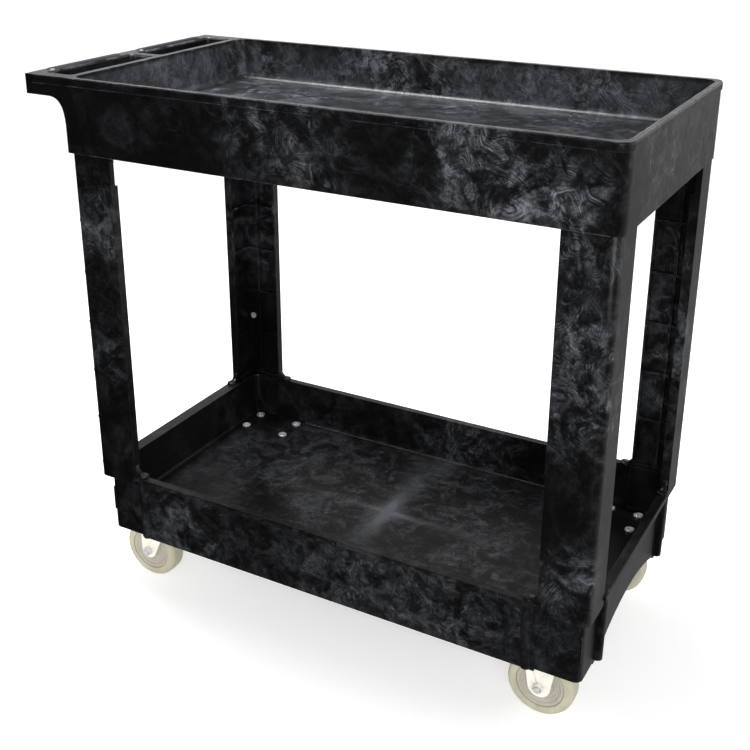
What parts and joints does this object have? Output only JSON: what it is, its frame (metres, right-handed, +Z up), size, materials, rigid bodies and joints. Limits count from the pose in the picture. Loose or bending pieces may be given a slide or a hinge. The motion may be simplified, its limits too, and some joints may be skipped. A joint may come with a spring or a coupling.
{
  "type": "two-shelf service trolley",
  "caption": "Two-shelf moulded service trolley with a deep upper tub, slotted push handle, corner legs, lipped lower tray and swivel and rigid casters.",
  "frame": {"origin": "on the floor, under the middle of the trolley's overall length and width", "axes": "+X along the shelves and away from the handle, +Y across the trolley, +Z up"},
  "size_m": [0.926, 0.45, 0.864],
  "materials": {
    "shelf_resin": "moulded black resin with grey flow swirls",
    "leg_resin": "moulded black resin with grey flow swirls",
    "wheel_tread": "tan moulded polymer",
    "wheel_core": "tan moulded polymer, slightly glossier",
    "caster_plating": "pale zinc and cream lacquer",
    "axle_steel": "zinc plated",
    "bright_fasteners": "bright plated",
    "zinc_fasteners": "zinc plated",
    "bare_steel": "ground steel"
  },
  "bodies": {
    "cart": {"caster_bolts": "bright_fasteners", "caster_nuts": "zinc_fasteners", "leg_far_end": "leg_resin", "leg_far_handle": "leg_resin", "leg_near_end": "leg_resin", "leg_near_handle": "leg_resin", "leg_rivets": "bright_fasteners", "leg_screws": "zinc_fasteners", "lower_shelf": "shelf_resin", "upper_shelf": "shelf_resin", "swivel_near_plate": "caster_plating", "swivel_near_kingpin": "caster_plating", "rigid_near_fork": "caster_plating", "rigid_near_axle_bolt": "axle_steel", "rigid_near_axle_nut": "axle_steel", "rigid_near_wheel_bush": "bare_steel", "swivel_far_plate": "caster_plating", "swivel_far_kingpin": "caster_plating", "rigid_far_fork": "caster_plating", "rigid_far_axle_bolt": "axle_steel", "rigid_far_axle_nut": "axle_steel", "rigid_far_wheel_bush": "bare_steel"},
    "swivel_near": {"swivel_near_fork": "caster_plating", "swivel_near_balls": "bare_steel", "swivel_near_axle_bolt": "axle_steel", "swivel_near_axle_nut": "axle_steel", "swivel_near_wheel_bush": "bare_steel"},
    "swivel_near_wheel": {"swivel_near_wheel_tread": "wheel_tread", "swivel_near_wheel_core": "wheel_core"},
    "rigid_near_wheel": {"rigid_near_wheel_tread": "wheel_tread", "rigid_near_wheel_core": "wheel_core"},
    "swivel_far": {"swivel_far_fork": "caster_plating", "swivel_far_balls": "bare_steel", "swivel_far_axle_bolt": "axle_steel", "swivel_far_axle_nut": "axle_steel", "swivel_far_wheel_bush": "bare_steel"},
    "swivel_far_wheel": {"swivel_far_wheel_tread": "wheel_tread", "swivel_far_wheel_core": "wheel_core"},
    "rigid_far_wheel": {"rigid_far_wheel_tread": "wheel_tread", "rigid_far_wheel_core": "wheel_core"}
  },
  "joints": [
    {"name": "swivel_near_turn", "type": "hinge", "parent": "cart", "child": "swivel_near", "pos_m": [-0.309, -0.16983, 0.119], "axis": [0, 0, 1], "continuous": true},
    {"name": "swivel_near_roll", "type": "hinge", "parent": "swivel_near", "child": "swivel_near_wheel", "pos_m": [-0.326, -0.16983, 0.0508], "axis": [0, 1, 0], "continuous": true},
    {"name": "rigid_near_roll", "type": "hinge", "parent": "cart", "child": "rigid_near_wheel", "pos_m": [0.384, -0.16983, 0.0508], "axis": [0, 1, 0], "continuous": true},
    {"name": "swivel_far_turn", "type": "hinge", "parent": "cart", "child": "swivel_far", "pos_m": [-0.309, 0.16983, 0.119], "axis": [0, 0, 1], "continuous": true},
    {"name": "swivel_far_roll", "type": "hinge", "parent": "swivel_far", "child": "swivel_far_wheel", "pos_m": [-0.326, 0.16983, 0.0508], "axis": [0, 1, 0], "continuous": true},
    {"name": "rigid_far_roll", "type": "hinge", "parent": "cart", "child": "rigid_far_wheel", "pos_m": [0.384, 0.16983, 0.0508], "axis": [0, 1, 0], "continuous": true}
  ]
}
